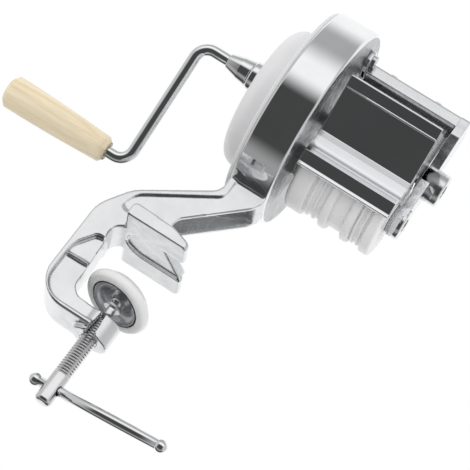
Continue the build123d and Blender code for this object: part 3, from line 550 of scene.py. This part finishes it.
tube("bent_crank_rod", crank_path(), ROD_R, 40, "crank", rod_plating, ["crank_rod"])
lathe(
    "dome_collar",
    rounded([(-11.8, 4.0, 0), (-11.8, 8.7, 1.4), (FERRULE_X, 8.7, 1.8), (FERRULE_X, 4.0, 0)], 8),
    SHAFT_LINE,
    X_AXIS,
    "crank",
    "plated_rod",
    rod_plating,
    ["shaft_collar"],
    closed=True,
)
lathe(
    "fluted_ferrule",
    [(FERRULE_X, 3.5), (FERRULE_X, 7.3), (FERRULE_X - 0.3, 7.75)]
    + [(FERRULE_X - 0.4 - 0.5 * step, 7.85 - FERRULE_DROP * step) for step in range(12)]
    + rounded([(-23.2, 6.9, 0), (-23.6, 6.8, 0.4), (-31.5, 4.5, 0.8), (-31.5, 3.4, 0)], 5),
    SHAFT_LINE,
    X_AXIS,
    "crank",
    "plated_rod",
    rod_plating,
    ["crank_ferrule"],
    segments=192,
)
lathe(
    "turned_wooden_grip",
    grip_profile(),
    GRIP_LINE,
    X_AXIS,
    "grip",
    "pale_wood",
    grip_wood,
    ["handle_grip"],
    closed=True,
)

# ------------------------------------------------------------------ roller
FLANGE_R = 24.2
TRACK_R = 21.3
BEAD_R = 22.6
RIB_FOOT = 0.35
ROLLER_HUB_R = 9.0
ROLLER_BORE_R = 4.0
beads = [(middle, 0.6, BEAD_R, 0.45) for middle in (51.0, 54.9, 79.2, 82.4)]
ridges = [(middle, 2.4, FLANGE_R, 1.7) for middle in (61.3, 75.0)]
roller_corners = [
    (34.5, ROLLER_BORE_R, 0),
    (34.5, ROLLER_HUB_R, 0.5),
    (37.5, ROLLER_HUB_R, 0.5),
    (37.5, FLANGE_R, 3.0),
    (48.3, FLANGE_R, 0.8),
    (49.0, TRACK_R, 0.5),
]
for middle, half, crest_r, corner_r in sorted(beads + ridges):
    roller_corners += [
        (middle - half - RIB_FOOT, TRACK_R, 0.25),
        (middle - half, crest_r, corner_r),
        (middle + half, crest_r, corner_r),
        (middle + half + RIB_FOOT, TRACK_R, 0.25),
    ]
roller_corners += [
    (84.3, TRACK_R, 0.3),
    (84.9, FLANGE_R, 0.8),
    (90.6, FLANGE_R, 1.5),
    (90.6, ROLLER_HUB_R, 0.5),
    (91.1, ROLLER_HUB_R, 0.3),
    (91.1, ROLLER_BORE_R, 0),
]
lathe(
    "ribbed_roller",
    rounded(roller_corners, 6),
    (0, 0, ROLLER_Z),
    X_AXIS,
    "roller",
    "white_nylon",
    roller_nylon,
    ["forming_roller"],
    segments=160,
    closed=True,
)

# ------------------------------------------------------------------ feed hopper
HOPPER_X0 = 36.3
HOPPER_X1 = 92.2
PLATE_TOP = (43.0, 0.0)
PLATE_FOOT = (26.5, -20.5)
PLATE_THICKNESS = 2.4
PLATE_OUT = PLATE_TOP[0] - PLATE_FOOT[0]
PLATE_DROP = PLATE_TOP[1] - PLATE_FOOT[1]
PLATE_LENGTH = hypot(PLATE_OUT, PLATE_DROP)
INWARD_OUT = -PLATE_THICKNESS * PLATE_DROP / PLATE_LENGTH
INWARD_UP = PLATE_THICKNESS * PLATE_OUT / PLATE_LENGTH
WALL_R = 25.9  # the curved wall's inner radius round the roller
WALL_LOW, WALL_MOUTH, WALL_HIGH = -27, 18, 66  # degrees round the roller, 0 towards -Y
CHEEK_THICKNESS = 2.0
EDGE_BEAD_X0 = 36.5
EDGE_BEAD_X1 = 92.0
EDGE_BEAD_R = 0.75
RAIL_LOW = 29.5


def from_top(out, up, r):
    return (PLATE_TOP[0] + out, PLATE_TOP[1] + up, r)


def from_foot(out, up, r):
    return (PLATE_FOOT[0] + out, PLATE_FOOT[1] + up, r)


def on_wall(turn_deg, r=WALL_R):
    turn = radians(turn_deg)
    return (r * cos(turn), ROLLER_Z - CRANK_Z + r * sin(turn), 0)


def wall_between(turn_1, turn_2):
    """The corner whose rounding is the wall's arc between two turns."""
    middle = (turn_1 + turn_2) / 2
    return (*on_wall(middle, WALL_R / cos(radians(turn_1 - turn_2) / 2))[:2], WALL_R)


chute = [
    from_top(5.0, 4.8, 0.7),
    from_top(0, 0, 0.8),
    from_foot(0, 0, 1.0),
    from_foot(0.4, -4.0, 0.8),
    from_foot(-0.9, -10.5, 7),
    from_foot(3.0, -16.3, 0.4),
    from_foot(-1.1, -21.7, 0.4),
    from_foot(-1.1, -23.6, 0.4),
    from_foot(-2.9, -23.6, 0.4),
    on_wall(WALL_LOW),
    wall_between(WALL_LOW, WALL_MOUTH),
    on_wall(WALL_MOUTH),
    from_foot(INWARD_OUT, INWARD_UP + 0.4, 0),
    from_top(INWARD_OUT, INWARD_UP, 4),
    from_top(3.6, 6.3, 0.7),
]
plates(
    "chute_and_forming_wall",
    [(chute, HOPPER_X0, HOPPER_X1, 6)],
    hopper_plating,
    ["feed_hopper"],
    0.45,
)
lathe(
    "chute_edge_bead",
    [(EDGE_BEAD_X0, 0.0)]
    + [
        (EDGE_BEAD_X0 + EDGE_BEAD_R * sin(turn), EDGE_BEAD_R * (1 - cos(turn)))
        for turn in (radians(45), radians(90))
    ]
    + [(EDGE_BEAD_X1 - EDGE_BEAD_R, EDGE_BEAD_R), (EDGE_BEAD_X1 - 0.2, 0.4), (EDGE_BEAD_X1, 0.0)],
    (0, -(PLATE_TOP[0] + 0.05), CRANK_Z + PLATE_TOP[1] - 0.05),
    X_AXIS,
    "frame",
    "plated_hopper",
    polished,
    ["feed_hopper"],
    segments=24,
)
back_wall = [
    (8, -5, 0.6),
    (8, RAIL_LOW, 0),
    (16, RAIL_LOW, 0),
    (16, RAIL_LOW - 2, 0.5),
    (10.4, RAIL_LOW - 2, 2),
    (10.4, -5, 0.6),
]
cheek = [
    from_top(3.0, 4.6, 0.5),
    from_top(INWARD_OUT + 0.8, INWARD_UP - 1.0, 0),
    from_foot(INWARD_OUT + 0.8, INWARD_UP, 0),
    on_wall(WALL_MOUTH),
    wall_between(WALL_MOUTH, WALL_HIGH),
    on_wall(WALL_HIGH),
    (8, -5, 0),
    (8, RAIL_LOW - 0.1, 0),
    (11, RAIL_LOW - 0.1, 0),
    (16, 19, 14),
]
# the back wall and cheeks carry the darker plating, painted shade inside the hopper
plates(
    "hopper_walls",
    [
        (back_wall, HOPPER_X0, HOPPER_X1, 6),
        (cheek, HOPPER_X0, HOPPER_X0 + CHEEK_THICKNESS, 6),
        (cheek, HOPPER_X1 - CHEEK_THICKNESS, HOPPER_X1, 6),
    ],
    hopper_inside_painted_shade,
    ["feed_hopper"],
    0.4,
)

# ------------------------------------------------------------------ roller bracket
RAIL_TOP = 37.3
RAIL_X1 = 95.0
LUG_TOP = 40.5
LUG_X1 = 36.0
END_PLATE_X0 = 92.6
END_PLATE_X1 = 98.2
END_HALF_WIDTH = 9.0
ROLLER_UP = ROLLER_Z - CRANK_Z
BOSS_BORE_R = 4.3
rail = [(8.2, RAIL_LOW, 0.6), (8.2, RAIL_TOP, 1), (15.8, RAIL_TOP, 2), (15.8, RAIL_LOW, 0.8)]
end_plate = [
    (16, 37.5, 2),
    (-4, 37.5, 5),
    (-9.4, 10, 12),
    (-END_HALF_WIDTH, ROLLER_UP, 0),
    (-END_HALF_WIDTH, -38.3, 8.9),
    (END_HALF_WIDTH, -38.3, 8.9),
    (END_HALF_WIDTH, ROLLER_UP, 0),
    (8.4, -7, 3),
    (8.4, 5, 6),
    (16, 25, 5),
]
lugs = [(-6, RAIL_LOW, 4), (-6, LUG_TOP, 4), (24, LUG_TOP, 4), (24, RAIL_LOW, 4)]
for name, outline, x0, x1, steps, mat, edge, edge_segments in (
    ("bracket_rail", rail, DRUM_X1, RAIL_X1, 6, cast_bright, 0.7, 3),
    ("bracket_end_plate", end_plate, END_PLATE_X0, END_PLATE_X1, 10, cast_wavy, 1.3, 5),
    ("bracket_lug_plate", lugs, DRUM_X1, LUG_X1, 6, cast_bright, 0.8, 3),
):
    plates(
        name,
        [(outline, x0, x1, steps)],
        mat,
        ["roller_bracket"],
        edge,
        edge_segments,
    )
for name, boss_z, boss_r, boss_end in (
    ("crank_shaft_boss", CRANK_Z, 9.4, 106.0),
    ("roller_shaft_boss", ROLLER_Z, 9.0, 99.2),
):
    boss = [
        (93.0, 6.2, 0),
        (93.0, boss_r, 0),
        (boss_end, boss_r, 1.2),
        (boss_end, BOSS_BORE_R, 0.5),
        (96.0, BOSS_BORE_R, 0),
    ]
    lathe(
        name,
        rounded(boss, 8),
        (0, 0, boss_z),
        X_AXIS,
        "frame",
        "plated_bracket",
        cast_bright,
        ["roller_bracket"],
        closed=True,
    )

# ------------------------------------------------------------------ clamp screw and bar
SCREW_R = 4.75
PITCH = 1.6
THREAD_Z0 = -82.9
THREAD_Z1 = -46.5
THREAD_DEPTH = 0.62
NECK_R = 2.5
SCREW_BALL_R = 3.6
BALL_Z = -32.5
BAR_TURN = radians(-14.0)
BAR_DIR = Vector((cos(BAR_TURN), sin(BAR_TURN), 0))
BAR_MIDDLE = Vector((0, 0, -90.8))
BAR_ENDS = (-10.4, 66.4)
BAR_R = 2.75
BAR_HOLE_R = 2.8
BAR_HOLE_REACH = 9.5
BAR_BALL_R = 3.5


def screw_profile():
    """The rounded head, a plain length, close steps for the thread, the neck and the ball."""
    points = [(-100.6, 0.0)] + arc(-98.4, 2.2, range(0, 91, 10), 2.55)
    z = -98.0
    while z < -83.0:
        points.append((z, SCREW_R))
        z += 1.0
    z = -83.0
    while z < -46.6:
        points.append((z, SCREW_R))
        z += PITCH / 12
    points += [(-46.4, 4.4), (-46.0, 3.6), (-46.0, NECK_R), (-41.0, NECK_R), (-39.6, NECK_R)]
    points += arc(BALL_Z, SCREW_BALL_R, range(46, 181, 9))
    points[-1] = (points[-1][0], 0.0)
    return points


def thread(a, r, turn):
    """Helical thread: the radius follows the distance along plus the turn."""
    if not THREAD_Z0 < a < THREAD_Z1 or r < SCREW_R - 0.01:
        return r
    depth = min(1.0, (a - THREAD_Z0) / 1.5, (THREAD_Z1 - a) / 1.0)
    phase = (a / PITCH - turn / (2 * pi)) % 1.0
    form = max(0.0, min(1.0, (abs(phase - 0.5) * 2 - 0.16) / 0.68))
    return r - THREAD_DEPTH * depth * form


threaded = lathe(
    "threaded_clamp_screw",
    screw_profile(),
    (0, 0, 0),
    Z_AXIS,
    "screw",
    "plated_screw",
    screw_plating,
    ["clamp_screw"],
    segments=72,
    radius_of=thread,
)
bar_hole = bmesh.new()
lathe_into(bar_hole, rod(-BAR_HOLE_REACH, BAR_HOLE_REACH, BAR_HOLE_R), BAR_MIDDLE, BAR_DIR, 64)
cut_away(threaded, bar_hole)
lathe(
    "cross_bar",
    rod(*BAR_ENDS, BAR_R),
    BAR_MIDDLE,
    BAR_DIR,
    "bar",
    "plated_screw",
    rod_plating,
    ["tommy_bar"],
    segments=64,
)
balls = bmesh.new()
for reach in BAR_ENDS:
    lathe_into(balls, arc(reach, BAR_BALL_R, range(0, 181, 6)), BAR_MIDDLE, BAR_DIR, 48)
bmesh.ops.recalc_face_normals(balls, faces=balls.faces)
finished("bar_ball_ends", balls, "bar", rod_plating, ["bar_balls"])

# ------------------------------------------------------------------ clamp pad
PAD_LEAN = radians(56.0)
PAD_TILT = radians(14.7)
PAD_DIR = Vector((sin(PAD_TILT) * cos(PAD_LEAN), sin(PAD_TILT) * sin(PAD_LEAN), cos(PAD_TILT)))
# corners of the pad: (radius, distance from the ball's centre, corner radius)
cup_back = [
    (14.6, -2.6, 0),
    (13.9, 0.7, 6),
    (11.2, 2.7, 2.5),
    (7.3, 3.7, 3),
    (3.604, 4.1, 0.4),
    (1.659, 4.557, 0.5),
    (0, 4.85, 0),
]
cup_front = [
    (0, 3.7, 0),
    (2.6, 2.6, 0.3),
    (3.6, 0.0, 0),
    (4.85, 0, 0.5),
    (7.0, 2.5, 2),
    (10.5, 1.4, 3),
    (12.7, 0.2, 5),
    (13.4, -2.6, 0.3),
]
ring_face = [(0, 6.2, 0), (15.0, 6.2, 2.5), (20.3, 1.0, 3), (18.5, -2.6, 2.0)]
for name, corners, slot, mat, cad_node, closed in (
    ("pressed_pad_cup", cup_back + cup_front, "pad_steel", cup_plating, "pad_cup", False),
    ("moulded_pad_ring", cup_back + ring_face, "white_ring", ring_plastic, "pad_ring", True),
):
    lathe(
        name,
        [(y, x) for x, y in rounded(corners, 8)],
        (0, 0, BALL_Z),
        PAD_DIR,
        "pad",
        slot,
        mat,
        [cad_node],
        segments=128,
        closed=closed,
    )

# ------------------------------------------------------------------ CAD nodes that stay
kept = {
    "cover_screws": zinc,
    "rear_bushing": bushing_nylon,
    "shaft_bushings": bushing_nylon,
    "main_shaft": shaft_steel,
    "grip_retainer": zinc,
    "drive_pinion": shaft_steel,
    "driven_gear": gear_nylon,
    "roller_shaft": shaft_steel,
    "bracket_screws": zinc,
    "hopper_screws": zinc,
    "swivel_collar": cup_plating,
}
for name, mat in kept.items():
    NODES[name].data.materials.clear()
    NODES[name].data.materials.append(mat)

# ------------------------------------------------------------------ floor, in metres
FLOOR_R = 6.0
FLOOR_Z = -0.9
floor_bm = bmesh.new()
bmesh.ops.create_circle(floor_bm, cap_ends=True, segments=96, radius=FLOOR_R)
floor_mesh = bpy.data.meshes.new("studio_floor")
floor_bm.to_mesh(floor_mesh)
floor_bm.free()
floor = bpy.data.objects.new("studio_floor", floor_mesh)
floor.location = (0, 0, FLOOR_Z)
floor_mat = material("pale_floor", (0.86, 0.86, 0.86), 0.8)
floor_tone = ramp(floor_mat, noise_of(floor_mat, place(floor_mat), 3, 2), 0.84, 0.88)
link(floor_mat, floor_tone, socket(floor_mat, "Base Color"))
floor_mesh.materials.append(floor_mat)
bpy.context.scene.collection.objects.link(floor)
floor.visible_glossy = False

# ------------------------------------------------------------------ light
FRONT_LIGHT = 1.05
LEAST_LIGHT = 0.065
END_LIGHT = 0.65
DIFFUSE_LIGHT = 0.85
BACKDROP_LIGHT = 1.0
# cards round the X axis: middle, half the even part and half the whole in degrees (0 level in
# front, 90 overhead, -90 below), change of light
CARDS = (
    (-75, 62, 86, -1.0),  # a wide dark card below
    (-93, 3, 28, 0.32),  # a faint light strip in it
    (62, 8, 38, -0.60),  # a grey card above
)


def studio_world():
    """A world that shows the camera a white backdrop and mirrors the cards in the metal."""
    world = bpy.data.worlds.new("studio")
    world.use_nodes = True
    world.node_tree.nodes.clear()

    def maths(operation, *values):
        made = node(world, "ShaderNodeMath", operation=operation)
        for index, value in enumerate(values):
            if isinstance(value, (int, float)):
                made.inputs[index].default_value = value
            else:
                link(world, value, made.inputs[index])
        return made.outputs[0]

    def smooth_step(value, start, end, height):
        """0 where value is start, height where it is end."""
        limits = {"From Min": start, "From Max": end, "To Min": 0.0, "To Max": height}
        made = node(world, "ShaderNodeMapRange", limits, interpolation_type="SMOOTHSTEP")
        link(world, value, made.inputs["Value"])
        return made.outputs["Result"]

    def faded(light, other_light, factor):
        """light where factor is 0, other_light where it is 1."""
        made = node(world, "ShaderNodeMix", {"B": other_light}, data_type="FLOAT")
        link(world, light, made.inputs["A"])
        link(world, factor, made.inputs["Factor"])
        return made.outputs["Result"]

    coords = node(world, "ShaderNodeTexCoord")
    split = node(world, "ShaderNodeSeparateXYZ")
    link(world, coords.outputs["Generated"], split.inputs[0])
    around = maths("ARCTAN2", split.outputs["Z"], maths("MULTIPLY", split.outputs["Y"], -1.0))
    light = FRONT_LIGHT
    for middle, core, half, change in CARDS:
        away = maths("ABSOLUTE", maths("SUBTRACT", around, radians(middle)))
        light = maths("ADD", smooth_step(away, radians(half), radians(core), change), light)
    light = maths("MAXIMUM", light, LEAST_LIGHT)
    # towards the ends of the X axis the cards fade into light grey
    near_end = smooth_step(maths("ABSOLUTE", split.outputs["X"]), 0.55, 0.95, 1.0)
    light = faded(light, END_LIGHT, near_end)
    path = node(world, "ShaderNodeLightPath")
    light = faded(light, DIFFUSE_LIGHT, path.outputs["Is Diffuse Ray"])
    light = faded(light, BACKDROP_LIGHT, path.outputs["Is Camera Ray"])
    background = node(world, "ShaderNodeBackground", {"Color": (1, 1, 1, 1)})
    link(world, light, background.inputs["Strength"])
    output = node(world, "ShaderNodeOutputWorld")
    link(world, background.outputs["Background"], output.inputs["Surface"])
    bpy.context.scene.world = world


def softbox(name, location, target, width, height, power):
    """An area light that no mirror shows; places in metres, power in watts."""
    data = bpy.data.lights.new(name, "AREA")
    data.shape = "RECTANGLE"
    data.size = width
    data.size_y = height
    data.energy = power
    lamp = bpy.data.objects.new(name, data)
    lamp.location = location
    lamp.rotation_mode = "QUATERNION"
    lamp.rotation_quaternion = (Vector(target) - Vector(location)).to_track_quat("-Z", "Y")
    lamp.visible_glossy = False
    bpy.context.scene.collection.objects.link(lamp)


studio_world()
softbox("key_softbox", (-0.9, -1.3, 0.9), (0, 0, 0.05), 0.9, 0.9, 9)
softbox("side_softbox", (1.5, -0.5, 0.5), (0.03, 0, 0.1), 0.6, 1.0, 4)

# ------------------------------------------------------------------ camera, fitted to the photo
PHOTO_PIXELS = 470
FOCAL_PIXELS = 2200
SENSOR = 36
CAMERA_PLACE = (0.2121, -1.0322, -0.4477)
camera_data = bpy.data.cameras.new("camera")
camera_data.sensor_width = SENSOR
camera_data.lens = FOCAL_PIXELS / PHOTO_PIXELS * SENSOR
camera_data.clip_start = 0.05
camera_data.clip_end = 30
camera = bpy.data.objects.new("camera", camera_data)
camera_right = Vector((0.835, -0.1042, 0.5403))
camera_back = Vector((0.159, -0.8943, -0.4183)).normalized()
camera_up = camera_back.cross(camera_right).normalized()
camera_right = camera_up.cross(camera_back)
camera_turn = Matrix((camera_right, camera_up, camera_back)).transposed()
camera.matrix_world = Matrix.Translation(CAMERA_PLACE) @ camera_turn.to_4x4()
bpy.context.scene.collection.objects.link(camera)
bpy.context.scene.camera = camera
bpy.context.scene.view_settings.view_transform = "Standard"
